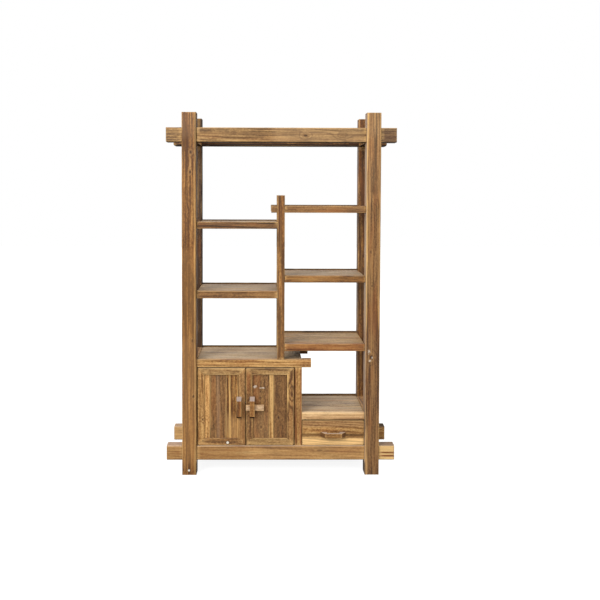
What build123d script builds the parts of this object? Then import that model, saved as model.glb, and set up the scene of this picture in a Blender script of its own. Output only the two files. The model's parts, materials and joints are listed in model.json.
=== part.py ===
"""Open bookcase with a two-door cupboard and a drawer, in reclaimed softwood. Millimetres, +Z up."""

from build123d import *
import os

os.makedirs("parts", exist_ok=True)

# Overall size, over the corner posts.
height = 2000
width = 1090
depth = 370

# Corner posts, and the long beams that cross them as half laps.
post_width = 80
post_depth = 70
face_inset = 10
beam_stub = 87
beam_height = 80
post_rise = 82
base_rail_bottom = 80
beam_edge_break = 3
beam_corner_radius = 4
rear_beam_corner_radius = 12
post_edge_break = 3

# Short rails from front to back.
side_rail_width = 60
side_tenon_width = 20
side_tenon_shoulder = 12
side_tenon_length = 20

# Middle posts, on the cabinet top rail.
middle_post_width = 40
middle_post_top = 1548
middle_post_tenon = 18

# Shelves: front and rear rails with sunk boards between them, and end rails under the boards.
shelf_inset = 14
rail_depth = 40
lip_width = 22
board_sink = 6
board_thickness = 12
board_gap = 1
shelf_board_count = 3
rail_edge_break = 1.5
upper_left_top = 1402
upper_left_height = 39
lower_left_top = 1021
lower_left_height = 42
upper_right_top = 1491
upper_right_height = 39
middle_right_top = 1106
middle_right_height = 39
lower_right_top = 728
lower_right_height = 41
cabinet_top = 640
cabinet_top_height = 44
drawer_top = 344
drawer_top_height = 40
upper_right_stub = 35
cabinet_top_stub = 51
tenon_thickness = 14
tenon_shoulder = 7
post_tenon_length = 20
stile_tenon_length = 15
middle_tenon_length = 12
end_tenon_height = 8
end_tenon_length = 12
end_tenon_inset = 8
end_tenon_drop = 2
mortise_end_gap = 1

# Cabinet stiles, boards and runners.
stile_left = 77
stile_width = 40
stile_tenon = 16
groove_depth = 8
tongue_length = 6
floor_drop = 10
cupboard_back_boards = 6
drawer_back_boards = 4
side_board_count = 3
divider_board_count = 3
back_board_offset = 2
cupboard_floor_boards = 6
drawer_floor_boards = 4

# Doors: mitred frames on round pivots, with planks in a groove.
door_thickness = 25
door_member = 37
hinge_gap = 5
meeting_gap = 4
door_gap_below = 3.5
door_gap_above = 3.5
plank_setback = 7
plank_thickness = 10
left_plank_shares = (0.18, 0.44, 0.38)
right_plank_shares = (0.48, 0.12, 0.40)
pivot_inset = 10
pivot_radius = 6
pivot_clearance = 0.06
pivot_reach = 10
pivot_embedded = 30
pivot_end_gap = 1

# Pull blocks and the sliding latch.
pull_reach = 30
door_pull_width = 27
door_pull_height = 121
door_pull_bevel = 17
door_pull_centre = 373.5
door_pull_setback = 21
peg_radius = 3
peg_length = 6
peg_spacing = 88
bolt_height = 33
bolt_thickness = 14
bolt_length = 100
bolt_clearance = 0.3
bolt_overhang = 1
drawer_pull_length = 142
drawer_pull_height = 26
drawer_pull_bevel = 25
drawer_pull_centre = 223
finger_hollow_length = 70
finger_hollow_depth = 16

# Drawer.
drawer_side_gap = 3
drawer_gap_below = 3
drawer_gap_above = 5
drawer_front_thickness = 20
drawer_wall = 12
drawer_wall_inset = 4
drawer_box_lift = 3
drawer_box_height = 114
drawer_gap_behind = 6
drawer_dado = 8
drawer_tongue = 5
drawer_bottom_thickness = 6
drawer_bottom_lift = 6
runner_width = 22
runner_clearance = 0.3

# Planes that the pieces share. The box around the whole part is centred on X = 0 and Y = 0.
beam_thickness = post_depth - face_inset
lap_depth = beam_thickness / 2
proud = pull_reach - shelf_inset
front = proud - (depth + proud) / 2
back = front + depth
right = width / 2
left = -right
post_inner = right - post_width
beam_end = right + beam_stub
top_beam_z = (height - post_rise - beam_height, height - post_rise)
base_rail_z = (base_rail_bottom, base_rail_bottom + beam_height)
base_rail_top = base_rail_z[1]
floor_top = base_rail_top - floor_drop
stile_right = stile_left + stile_width
middle = middle_post_width / 2
cabinet_underside = cabinet_top - cabinet_top_height
drawer_underside = drawer_top - drawer_top_height
rail_front = front + shelf_inset
rail_middle = rail_front + rail_depth / 2
inner_front = front + post_depth
inner_back = back - post_depth
door_front = rail_front
door_centre_y = door_front + pivot_inset


def middle_of(span):
    """Middle of a (low, high) pair."""
    return (span[0] + span[1]) / 2


def size_of(span):
    """Length of a (low, high) pair."""
    return span[1] - span[0]


def mirrored(span):
    """The same (low, high) pair measured from the other face of the case."""
    return (front + back - span[1], front + back - span[0])


def add_block(x, y, z, mode=Mode.ADD):
    """A plain block between three (low, high) pairs."""
    with Locations((middle_of(x), middle_of(y), middle_of(z))):
        Box(size_of(x), size_of(y), size_of(z), mode=mode)


def cut_block(x, y, z):
    """Takes away a plain block."""
    add_block(x, y, z, Mode.SUBTRACT)


def add_upright(x, y, z, edge_break):
    """A bar along Z with its four long edges broken."""
    with BuildSketch(Plane.XY.offset(z[0])) as section:
        with Locations((middle_of(x), middle_of(y))):
            Rectangle(size_of(x), size_of(y))
        chamfer(section.vertices(), length=edge_break)
    extrude(section.sketch, amount=size_of(z))


def add_long_bar(x, y, z, edge_break):
    """A bar along X with its four long edges broken."""
    with BuildSketch(Plane.YZ.offset(x[0])) as section:
        with Locations((middle_of(y), middle_of(z))):
            Rectangle(size_of(y), size_of(z))
        chamfer(section.vertices(), length=edge_break)
    extrude(section.sketch, amount=size_of(x))


def add_short_bar(x, y, z, edge_break):
    """A bar along Y with its four long edges broken."""
    with BuildSketch(Plane.XZ.offset(-y[0])) as section:
        with Locations((middle_of(x), middle_of(z))):
            Rectangle(size_of(x), size_of(z))
        chamfer(section.vertices(), length=edge_break)
    extrude(section.sketch, amount=-size_of(y))


def add_boards_across_y(x, y, z, count):
    """Boards that lie side by side in Y, a little apart."""
    pitch = (size_of(y) + board_gap) / count
    for index in range(count):
        start = y[0] + index * pitch
        add_block(x, (start, start + pitch - board_gap), z)


def add_boards_across_x(x, y, z, count):
    """Boards that stand or lie side by side in X, a little apart."""
    pitch = (size_of(x) + board_gap) / count
    for index in range(count):
        start = x[0] + index * pitch
        add_block((start, start + pitch - board_gap), y, z)


def export(builder, name):
    """Labels a finished sub-part and writes its STEP file."""
    builder.part.label = name
    export_step(builder.part, "parts/" + name + ".step")


# Where the members lie, front ones first. Rear ones are their mirror images.
post_y = (front, inner_front)
beam_y = (front + face_inset, inner_front)
post_lap_y = (inner_front - lap_depth, inner_front)
beam_lap_y = (front + face_inset, inner_front - lap_depth)
rail_y = (rail_front, rail_front + rail_depth)
rebate_y = (rail_front + lip_width, rail_front + rail_depth)
rail_tenon_y = (rail_middle - tenon_thickness / 2, rail_middle + tenon_thickness / 2)
between_posts_y = (inner_front, inner_back)
between_rails_y = (rail_y[1], mirrored(rail_y)[0])
left_post_x = (left, -post_inner)
right_post_x = (post_inner, right)
left_side_rail_x = (-post_inner - side_rail_width, -post_inner)
right_side_rail_x = (post_inner, post_inner + side_rail_width)
stile_x = (stile_left, stile_right)
middle_x = (-middle, middle)
cupboard_x = (-post_inner, stile_left)
drawer_bay_x = (stile_right, post_inner)
left_door_x = (cupboard_x[0] + hinge_gap, middle_of(cupboard_x) - meeting_gap / 2)
right_door_x = (middle_of(cupboard_x) + meeting_gap / 2, cupboard_x[1] - hinge_gap)
left_pivot_x = left_door_x[0] + pivot_inset
right_pivot_x = right_door_x[1] - pivot_inset


def narrowed(span, amount):
    """A (low, high) pair drawn in by the same amount at both ends."""
    return (span[0] + amount, span[1] - amount)


def centred(span, length):
    """A (low, high) pair of the given length about the middle of another."""
    return (middle_of(span) - length / 2, middle_of(span) + length / 2)


def rail_z(top, rail_height):
    return (top - rail_height, top)


def tenon_z(top, rail_height):
    return narrowed(rail_z(top, rail_height), tenon_shoulder)


rear_rail_y = mirrored(rail_y)
back_board_middle = middle_of(rear_rail_y) + back_board_offset
back_board_y = (back_board_middle - board_thickness / 2, back_board_middle + board_thickness / 2)

# The heights of the shelf tenons that each corner post takes.
left_rails = (
    (upper_left_top, upper_left_height),
    (lower_left_top, lower_left_height),
    (cabinet_top, cabinet_top_height),
)
right_rails = (
    (upper_right_top, upper_right_height),
    (middle_right_top, middle_right_height),
    (lower_right_top, lower_right_height),
    (drawer_top, drawer_top_height),
)
left_side_board_x = centred(left_side_rail_x, board_thickness)
right_side_board_x = centred(right_side_rail_x, board_thickness)
divider_board_x = centred(stile_x, board_thickness)


def side_tenon_x(rail_x):
    return centred(rail_x, side_tenon_width)


def make_corner_post(name, is_right, is_rear):
    """A corner post with its two half laps, shelf mortises and board grooves."""
    place = mirrored if is_rear else tuple
    post_x = right_post_x if is_right else left_post_x
    rails = right_rails if is_right else left_rails
    mortise_length = post_tenon_length + mortise_end_gap
    inner = post_inner if is_right else -post_inner - mortise_length
    side_x = side_tenon_x(right_side_rail_x if is_right else left_side_rail_x)
    board_x = right_side_board_x if is_right else left_side_board_x
    side_top, side_height = rails[-1]
    side_bottom = side_top - side_height
    groove_x = post_inner if is_right else -post_inner - groove_depth
    with BuildPart() as post:
        add_upright(post_x, place(post_y), (0, height), post_edge_break)
        for lap_z in (top_beam_z, base_rail_z):
            cut_block(post_x, place(post_lap_y), lap_z)
        for top, rail_height in rails:
            mortise_z = tenon_z(top, rail_height)
            cut_block((inner, inner + mortise_length), place(rail_tenon_y), mortise_z)
        side_mortise_y = (inner_front - side_tenon_length - mortise_end_gap, inner_front)
        side_mortise_z = narrowed((side_bottom, side_top), side_tenon_shoulder)
        cut_block(side_x, place(side_mortise_y), side_mortise_z)
        side_groove_y = (inner_front - groove_depth, inner_front)
        cut_block(board_x, place(side_groove_y), (base_rail_top, side_bottom))
        if is_rear:
            back_groove_x = (groove_x, groove_x + groove_depth)
            groove_top = side_bottom + tongue_length
            cut_block(back_groove_x, back_board_y, (base_rail_top, groove_top))
    export(post, name)


for post_name, is_right, is_rear in (
    ("front_left_post", False, False),
    ("front_right_post", True, False),
    ("rear_left_post", False, True),
    ("rear_right_post", True, True),
):
    make_corner_post(post_name, is_right, is_rear)


def make_beam(name, z, is_rear, is_base, corner_radius):
    """A long beam that runs past the posts, half-lapped over each of them."""
    place = mirrored if is_rear else tuple
    side_mortise_y = (inner_front - side_tenon_length - mortise_end_gap, inner_front)
    side_mortise_z = narrowed(z, side_tenon_shoulder)
    with BuildPart() as beam:
        with BuildSketch(Plane.XZ.offset(-place(beam_y)[0])) as outline:
            with Locations((0, middle_of(z))):
                Rectangle(2 * beam_end, size_of(z))
            lower = outline.vertices().group_by(Axis.Y)[0]
            fillet(lower, radius=corner_radius)
        extrude(outline.sketch, amount=-beam_thickness)
        long_edges = beam.edges().filter_by(Axis.X)
        chamfer(long_edges, length=beam_edge_break)
        for post_x in (left_post_x, right_post_x):
            cut_block(post_x, place(beam_lap_y), z)
        for side_x in (left_side_rail_x, right_side_rail_x):
            cut_block(side_tenon_x(side_x), place(side_mortise_y), side_mortise_z)
        if is_base:
            cut_block(side_tenon_x(stile_x), place(side_mortise_y), side_mortise_z)
            stile_mortise_z = (base_rail_top - stile_tenon - mortise_end_gap, base_rail_top)
            cut_block(side_tenon_x(stile_x), place(centred(rail_y, side_tenon_width)), stile_mortise_z)
            floor_groove_y = (inner_front - groove_depth, inner_front)
            for bay_x in (cupboard_x, drawer_bay_x):
                cut_block(bay_x, place(floor_groove_y), (floor_top - board_thickness, floor_top))
        if is_base and not is_rear:
            for pivot_x in (left_pivot_x, right_pivot_x):
                with Locations((pivot_x, door_centre_y, base_rail_top)):
                    socket_depth = pivot_reach + pivot_end_gap
                    Hole(radius=pivot_radius + pivot_clearance, depth=socket_depth)
    export(beam, name)


for beam_name, beam_z, is_rear, is_base, corner_radius in (
    ("top_front_beam", top_beam_z, False, False, beam_corner_radius),
    ("top_rear_beam", top_beam_z, True, False, rear_beam_corner_radius),
    ("base_front_rail", base_rail_z, False, True, beam_corner_radius),
    ("base_rear_rail", base_rail_z, True, True, beam_corner_radius),
):
    make_beam(beam_name, beam_z, is_rear, is_base, corner_radius)


def add_side_rail(x, z):
    """A rail from front to back, with a tenon at each end."""
    add_short_bar(x, between_posts_y, z, rail_edge_break)
    tenon_y = (inner_front - side_tenon_length, inner_back + side_tenon_length)
    add_block(side_tenon_x(x), tenon_y, narrowed(z, side_tenon_shoulder))


for rails_name, rails_z in (("top_side_rails", top_beam_z), ("base_side_rails", base_rail_z)):
    with BuildPart() as side_rails:
        for side_rail_x in (left_side_rail_x, right_side_rail_x):
            add_side_rail(side_rail_x, rails_z)
    export(side_rails, rails_name)

with BuildPart() as base_middle_rail:
    add_side_rail(stile_x, base_rail_z)
export(base_middle_rail, "base_middle_rail")


with BuildPart() as cabinet_side_rails:
    for rail_x, board_x, top, rail_height in (
        (left_side_rail_x, left_side_board_x, cabinet_top, cabinet_top_height),
        (right_side_rail_x, right_side_board_x, drawer_top, drawer_top_height),
    ):
        add_side_rail(rail_x, rail_z(top, rail_height))
        groove_z = (top - rail_height, top - rail_height + groove_depth)
        cut_block(board_x, between_posts_y, groove_z)
export(cabinet_side_rails, "cabinet_side_rails")


# Middle posts: each stands on the lip of the cabinet top rail, steps down onto the boards behind
# the lip, and is half-lapped over the upper right shelf rail.
middle_tenon_y = narrowed((rail_front, rail_front + lip_width), (lip_width - tenon_thickness) / 2)
middle_tenon_x = narrowed(middle_x, tenon_shoulder)
half_rail_y = (rail_front + rail_depth / 2, rail_front + rail_depth)
crossing_z = rail_z(upper_right_top, upper_right_height)

for post_name, place in (("front_middle_post", tuple), ("rear_middle_post", mirrored)):
    with BuildPart() as middle_post:
        add_upright(middle_x, place(rail_y), (cabinet_top, middle_post_top), rail_edge_break)
        step_z = (cabinet_top - board_sink, cabinet_top + rail_edge_break)
        add_block(middle_x, place(rebate_y), step_z)
        tenon_top = cabinet_top + rail_edge_break
        add_block(middle_tenon_x, place(middle_tenon_y), (cabinet_top - middle_post_tenon, tenon_top))
        cut_block(middle_x, place(half_rail_y), crossing_z)
        for shelf_top, shelf_height in left_rails[:-1]:
            left_mortise_x = (-middle, -middle + middle_tenon_length + mortise_end_gap)
            cut_block(left_mortise_x, place(rail_tenon_y), tenon_z(shelf_top, shelf_height))
        for shelf_top, shelf_height in right_rails[1:-1]:
            right_mortise_x = (middle - middle_tenon_length - mortise_end_gap, middle)
            cut_block(right_mortise_x, place(rail_tenon_y), tenon_z(shelf_top, shelf_height))
    export(middle_post, post_name)


# Shelves.
def add_rail_pair(bar_x, tenon_x, frame_x, top, rail_height):
    """Front and rear rails, each rebated for the boards and mortised for the end rails."""
    rebate_z = (top - board_sink - board_thickness, top)
    for place in (tuple, mirrored):
        add_long_bar(bar_x, place(rail_y), rail_z(top, rail_height), rail_edge_break)
        add_block(tenon_x, place(rail_tenon_y), tenon_z(top, rail_height))
        cut_block(frame_x, place(rebate_y), rebate_z)
        for end_x in end_rail_xs(frame_x):
            end_mortise_y = (rail_y[1] - end_tenon_length - mortise_end_gap, rail_y[1])
            cut_block(narrowed(end_x, end_tenon_inset), place(end_mortise_y), end_tenon_z(top))


def end_rail_xs(frame_x):
    """The two end rails of a shelf frame, as (low, high) pairs in X."""
    return (
        (frame_x[0], frame_x[0] + rail_depth),
        (frame_x[1] - rail_depth, frame_x[1]),
    )


def end_tenon_z(top):
    """The end rails' tenons lie just under the boards."""
    tenon_top = top - board_sink - board_thickness - end_tenon_drop
    return (tenon_top - end_tenon_height, tenon_top)


def add_end_rails(frame_x, top, rail_height):
    """End rails under the ends of the boards, with a tenon at each end."""
    end_rail_z = (top - rail_height, top - board_sink - board_thickness)
    tenon_y = (rail_y[1] - end_tenon_length, mirrored(rail_y)[0] + end_tenon_length)
    for end_x in end_rail_xs(frame_x):
        add_short_bar(end_x, between_rails_y, end_rail_z, rail_edge_break)
        add_block(narrowed(end_x, end_tenon_inset), tenon_y, end_tenon_z(top))


def make_shelf_boards(name, frame_x, top):
    """Boards that lie in the rebates of the rails and over the end rails, from post to post."""
    boards_y = (rebate_y[0], mirrored(rebate_y)[1])
    boards_z = (top - board_sink - board_thickness, top - board_sink)
    with BuildPart() as boards:
        add_boards_across_y(frame_x, boards_y, boards_z, shelf_board_count)
    export(boards, name + "_boards")


def make_shelf(name, bar_x, tenon_x, frame_x, top, rail_height):
    """One open shelf, as rails, end rails and boards."""
    with BuildPart() as rails:
        add_rail_pair(bar_x, tenon_x, frame_x, top, rail_height)
        if bar_x[0] < -middle and bar_x[1] > middle:
            for place in (tuple, mirrored):
                cut_block(middle_x, place((rail_y[0], half_rail_y[0])), rail_z(top, rail_height))
    export(rails, name + "_rails")
    with BuildPart() as end_rails:
        add_end_rails(frame_x, top, rail_height)
    export(end_rails, name + "_end_rails")
    make_shelf_boards(name, frame_x, top)


left_bay_x = (-post_inner, -middle)
right_bay_x = (middle, post_inner)
left_bay_tenon_x = (-post_inner - post_tenon_length, -middle + middle_tenon_length)
right_bay_tenon_x = (middle - middle_tenon_length, post_inner + post_tenon_length)
crossing_bar_x = (-middle - upper_right_stub, post_inner)
crossing_tenon_x = (middle, post_inner + post_tenon_length)

make_shelf(
    "upper_left_shelf", left_bay_x, left_bay_tenon_x, left_bay_x, upper_left_top, upper_left_height
)
make_shelf(
    "lower_left_shelf", left_bay_x, left_bay_tenon_x, left_bay_x, lower_left_top, lower_left_height
)
make_shelf(
    "upper_right_shelf", crossing_bar_x, crossing_tenon_x, right_bay_x, upper_right_top, upper_right_height
)
make_shelf(
    "middle_right_shelf", right_bay_x, right_bay_tenon_x, right_bay_x, middle_right_top, middle_right_height
)
make_shelf(
    "lower_right_shelf", right_bay_x, right_bay_tenon_x, right_bay_x, lower_right_top, lower_right_height
)

# Cabinet top: its rails run past the stiles as stubs, and carry the middle posts.
cabinet_frame_x = (-post_inner, stile_right)
cabinet_bar_x = (-post_inner, stile_right + cabinet_top_stub)
cabinet_tenon_x = (-post_inner - post_tenon_length, -post_inner)
cabinet_groove_z = (cabinet_underside, cabinet_underside + groove_depth)

with BuildPart() as cabinet_top_rails:
    add_rail_pair(cabinet_bar_x, cabinet_tenon_x, cabinet_frame_x, cabinet_top, cabinet_top_height)
    for place in (tuple, mirrored):
        post_mortise_z = (cabinet_top - middle_post_tenon - mortise_end_gap, cabinet_top)
        cut_block(middle_tenon_x, place(middle_tenon_y), post_mortise_z)
        stile_mortise_y = place(centred(rail_y, side_tenon_width))
        stile_mortise_z = (cabinet_underside, cabinet_underside + stile_tenon + mortise_end_gap)
        cut_block(side_tenon_x(stile_x), stile_mortise_y, stile_mortise_z)
    back_groove_x = (cupboard_x[0], cupboard_x[1] + tongue_length)
    cut_block(back_groove_x, back_board_y, cabinet_groove_z)
    for pivot_x in (left_pivot_x, right_pivot_x):
        socket_z = (cabinet_underside, cabinet_underside + pivot_reach + pivot_end_gap)
        with Locations((pivot_x, door_centre_y, middle_of(socket_z))):
            Cylinder(pivot_radius + pivot_clearance, size_of(socket_z), mode=Mode.SUBTRACT)
export(cabinet_top_rails, "cabinet_top_rails")

with BuildPart() as cabinet_top_end_rails:
    add_end_rails(cabinet_frame_x, cabinet_top, cabinet_top_height)
    cut_block(divider_board_x, between_rails_y, cabinet_groove_z)
export(cabinet_top_end_rails, "cabinet_top_end_rails")

make_shelf_boards("cabinet_top", cabinet_frame_x, cabinet_top)

# Drawer top: between the stiles and the right posts.
drawer_tenon_x = (stile_right - stile_tenon_length, post_inner + post_tenon_length)
drawer_groove_z = (drawer_underside, drawer_underside + groove_depth)

with BuildPart() as drawer_top_rails:
    add_rail_pair(drawer_bay_x, drawer_tenon_x, drawer_bay_x, drawer_top, drawer_top_height)
    cut_block(drawer_bay_x, back_board_y, drawer_groove_z)
export(drawer_top_rails, "drawer_top_rails")

with BuildPart() as drawer_top_end_rails:
    add_end_rails(drawer_bay_x, drawer_top, drawer_top_height)
export(drawer_top_end_rails, "drawer_top_end_rails")

make_shelf_boards("drawer_top", drawer_bay_x, drawer_top)

# Stiles between the doors and the drawer.
for stile_name, place in (("cabinet_front_stile", tuple), ("cabinet_rear_stile", mirrored)):
    with BuildPart() as stile:
        add_upright(stile_x, place(rail_y), (base_rail_top, cabinet_underside), rail_edge_break)
        tenon_y = place(centred(rail_y, side_tenon_width))
        tenon_span = (base_rail_top - stile_tenon, cabinet_underside + stile_tenon)
        add_block(side_tenon_x(stile_x), tenon_y, tenon_span)
        drawer_mortise_x = (stile_right - stile_tenon_length - mortise_end_gap, stile_right)
        cut_block(drawer_mortise_x, place(rail_tenon_y), tenon_z(drawer_top, drawer_top_height))
        divider_groove_y = place((rail_y[1] - groove_depth, rail_y[1]))
        cut_block(divider_board_x, divider_groove_y, (base_rail_top, cabinet_underside))
        if place is mirrored:
            cupboard_groove_x = (stile_left, stile_left + groove_depth)
            cut_block(cupboard_groove_x, back_board_y, (base_rail_top, cabinet_underside))
            drawer_groove_x = (stile_right - groove_depth, stile_right)
            drawer_groove_top = drawer_underside + tongue_length
            cut_block(drawer_groove_x, back_board_y, (base_rail_top, drawer_groove_top))
    export(stile, stile_name)

# Boards that close the lower cabinet.
with BuildPart() as back_boards:
    for bay_x, underside, board_count in (
        (cupboard_x, cabinet_underside, cupboard_back_boards),
        (drawer_bay_x, drawer_underside, drawer_back_boards),
    ):
        boards_z = (base_rail_top, underside + tongue_length)
        add_boards_across_x(narrowed(bay_x, -tongue_length), back_board_y, boards_z, board_count)
export(back_boards, "back_boards")


def add_front_to_back_boards(x, bay_y, underside, count):
    """Upright boards in a side wall, their upper corners cut back beside the groove above."""
    add_boards_across_y(x, narrowed(bay_y, -tongue_length), (base_rail_top, underside + tongue_length), count)
    for place in (tuple, mirrored):
        corner_y = (bay_y[0] - tongue_length, bay_y[0])
        cut_block(x, place(corner_y), (underside, underside + tongue_length))


with BuildPart() as side_boards:
    add_front_to_back_boards(left_side_board_x, between_posts_y, cabinet_underside, side_board_count)
    add_front_to_back_boards(right_side_board_x, between_posts_y, drawer_underside, side_board_count)
export(side_boards, "side_boards")

with BuildPart() as divider_boards:
    add_front_to_back_boards(divider_board_x, between_rails_y, cabinet_underside, divider_board_count)
export(divider_boards, "divider_boards")

with BuildPart() as floor_boards:
    floor_y = narrowed(between_posts_y, -tongue_length)
    floor_z = (floor_top - board_thickness, floor_top)
    add_boards_across_x(cupboard_x, floor_y, floor_z, cupboard_floor_boards)
    add_boards_across_x(drawer_bay_x, floor_y, floor_z, drawer_floor_boards)
export(floor_boards, "floor_boards")

# Doors.
door_z = (base_rail_top + door_gap_below, cabinet_underside - door_gap_above)
door_y = (door_front, door_front + door_thickness)
plank_y = (door_front + plank_setback, door_front + plank_setback + plank_thickness)
pull_z = (door_pull_centre - door_pull_height / 2, door_pull_centre + door_pull_height / 2)
pull_y = (door_front - pull_reach, door_front)
bolt_y = (door_front - bolt_clearance - bolt_thickness, door_front - bolt_clearance)
bolt_z = (door_pull_centre - bolt_height / 2, door_pull_centre + bolt_height / 2)
bolt_notch_y = (bolt_y[0] - bolt_clearance, door_front)
bolt_notch_z = narrowed(bolt_z, -bolt_clearance)


def add_mitred_stile(outer, inner):
    """A door stile whose ends slope at 45 degrees from its outer to its inner edge."""
    with BuildSketch(Plane.XZ.offset(-door_y[0])) as outline:
        with BuildLine():
            Polyline(
                (outer, door_z[0]),
                (outer, door_z[1]),
                (inner, door_z[1] - door_member),
                (inner, door_z[0] + door_member),
                close=True,
            )
        make_face()
    extrude(outline.sketch, amount=-door_thickness)


def add_mitred_rail(x, outer, inner):
    """A door rail whose ends slope at 45 degrees from its outer to its inner edge."""
    with BuildSketch(Plane.XZ.offset(-door_y[0])) as outline:
        with BuildLine():
            Polyline(
                (x[0], outer),
                (x[1], outer),
                (x[1] - door_member, inner),
                (x[0] + door_member, inner),
                close=True,
            )
        make_face()
    extrude(outline.sketch, amount=-door_thickness)


def cut_plank_groove(x):
    """The groove around the inside of a door frame."""
    plank_reach = door_member - groove_depth
    cut_block(narrowed(x, plank_reach), plank_y, narrowed(door_z, plank_reach))


def cut_pivot_bores(pivot_x):
    """Bores that hold the upper and lower pivots."""
    for end_z in (door_z[0] + pivot_embedded / 2, door_z[1] - pivot_embedded / 2):
        with Locations((pivot_x, door_centre_y, end_z)):
            Cylinder(pivot_radius, pivot_embedded, mode=Mode.SUBTRACT)


def add_planks(x, shares):
    """Upright planks of unequal width, a little apart, with tongues in the groove."""
    reach = door_member - tongue_length
    planks_x = narrowed(x, reach)
    planks_z = narrowed(door_z, reach)
    free_width = size_of(planks_x) - board_gap * (len(shares) - 1)
    start = planks_x[0]
    for share in shares:
        end = start + share * free_width
        add_block((start, end), plank_y, planks_z)
        start = end + board_gap


def add_pull_block(x, z, bevel, is_upright):
    """A pull block whose two ends slope back to the face that it stands on."""
    if is_upright:
        with BuildSketch(Plane.YZ.offset(x[0])) as outline:
            with BuildLine():
                Polyline(
                    (pull_y[1], z[0]),
                    (pull_y[0], z[0] + bevel),
                    (pull_y[0], z[1] - bevel),
                    (pull_y[1], z[1]),
                    close=True,
                )
            make_face()
        extrude(outline.sketch, amount=size_of(x))
    else:
        with BuildSketch(Plane.XY.offset(z[0])) as outline:
            with BuildLine():
                Polyline(
                    (x[0], pull_y[1]),
                    (x[0] + bevel, pull_y[0]),
                    (x[1] - bevel, pull_y[0]),
                    (x[1], pull_y[1]),
                    close=True,
                )
            make_face()
        extrude(outline.sketch, amount=size_of(z))


for side, door_x, pivot_x, shares in (
    ("left", left_door_x, left_pivot_x, left_plank_shares),
    ("right", right_door_x, right_pivot_x, right_plank_shares),
):
    is_left = side == "left"
    hinge_edge = door_x[0] if is_left else door_x[1]
    meeting_edge = door_x[1] if is_left else door_x[0]
    inward = 1 if is_left else -1
    meeting_inner = meeting_edge - inward * door_member
    pull_outer = meeting_edge - inward * door_pull_setback
    pull_x = tuple(sorted((pull_outer, pull_outer - inward * door_pull_width)))
    peg_x = (pull_outer + meeting_inner) / 2
    peg_locations = [
        (peg_x, door_front + peg_length / 2, door_pull_centre - peg_spacing / 2),
        (peg_x, door_front + peg_length / 2, door_pull_centre + peg_spacing / 2),
    ]

    with BuildPart() as hinge_stile:
        add_mitred_stile(hinge_edge, hinge_edge + inward * door_member)
        cut_plank_groove(door_x)
        cut_pivot_bores(pivot_x)
    export(hinge_stile, side + "_door_hinge_stile")

    with BuildPart() as meeting_stile:
        add_mitred_stile(meeting_edge, meeting_inner)
        cut_plank_groove(door_x)
        with Locations(*peg_locations):
            Cylinder(peg_radius, peg_length, rotation=(90, 0, 0), mode=Mode.SUBTRACT)
    export(meeting_stile, side + "_door_meeting_stile")

    with BuildPart() as door_rails:
        add_mitred_rail(door_x, door_z[1], door_z[1] - door_member)
        add_mitred_rail(door_x, door_z[0], door_z[0] + door_member)
        cut_plank_groove(door_x)
        cut_pivot_bores(pivot_x)
    export(door_rails, side + "_door_rails")

    with BuildPart() as door_planks:
        add_planks(door_x, shares)
    export(door_planks, side + "_door_planks")

    with BuildPart() as door_pivots:
        pivot_length = pivot_embedded + door_gap_below + pivot_reach
        with Locations((pivot_x, door_centre_y, door_z[0] + pivot_embedded - pivot_length / 2)):
            Cylinder(pivot_radius, pivot_length)
        upper_length = pivot_embedded + door_gap_above + pivot_reach
        with Locations((pivot_x, door_centre_y, door_z[1] - pivot_embedded + upper_length / 2)):
            Cylinder(pivot_radius, upper_length)
    export(door_pivots, side + "_door_pivots")

    with BuildPart() as pull:
        add_pull_block(pull_x, pull_z, door_pull_bevel, True)
        cut_block(pull_x, bolt_notch_y, bolt_notch_z)
        with Locations(*peg_locations):
            Cylinder(peg_radius, peg_length, rotation=(90, 0, 0))
    export(pull, side + "_door_pull")

# Latch bolt, drawn back so that its end stands at the gap between the doors.
bolt_start = right_door_x[0] - bolt_overhang
with BuildPart() as latch_bolt:
    add_long_bar((bolt_start, bolt_start + bolt_length), bolt_y, bolt_z, rail_edge_break)
export(latch_bolt, "latch_bolt")

# Drawer.
drawer_x = narrowed(drawer_bay_x, drawer_side_gap)
drawer_z = (base_rail_top + drawer_gap_below, drawer_underside - drawer_gap_above)
drawer_front_y = (door_front, door_front + drawer_front_thickness)
box_x = narrowed(drawer_x, drawer_wall_inset)
box_z = (drawer_z[0] + drawer_box_lift, drawer_z[0] + drawer_box_lift + drawer_box_height)
box_back = rear_rail_y[0] - drawer_gap_behind
side_y = (drawer_front_y[1] - drawer_dado, box_back)
drawer_side_xs = ((box_x[0], box_x[0] + drawer_wall), (box_x[1] - drawer_wall, box_x[1]))
between_sides_x = narrowed(box_x, drawer_wall)
bottom_z = (box_z[0] + drawer_bottom_lift, box_z[0] + drawer_bottom_lift + drawer_bottom_thickness)
bottom_x = narrowed(between_sides_x, -drawer_tongue)
back_y = (box_back - 2 * drawer_wall, box_back - drawer_wall)
bottom_y = (drawer_front_y[1] - drawer_tongue, box_back)
drawer_pull_x = centred(drawer_x, drawer_pull_length)
drawer_pull_z = (drawer_pull_centre - drawer_pull_height / 2, drawer_pull_centre + drawer_pull_height / 2)
finger_hollow_x = centred(drawer_x, finger_hollow_length)
finger_hollow_y = (door_front - finger_hollow_depth, door_front)
drawer_peg_offset = (drawer_pull_length + finger_hollow_length) / 4
drawer_peg_y = door_front + peg_length / 2
drawer_peg_locations = [
    (middle_of(drawer_x) - drawer_peg_offset, drawer_peg_y, drawer_pull_centre),
    (middle_of(drawer_x) + drawer_peg_offset, drawer_peg_y, drawer_pull_centre),
]

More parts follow.
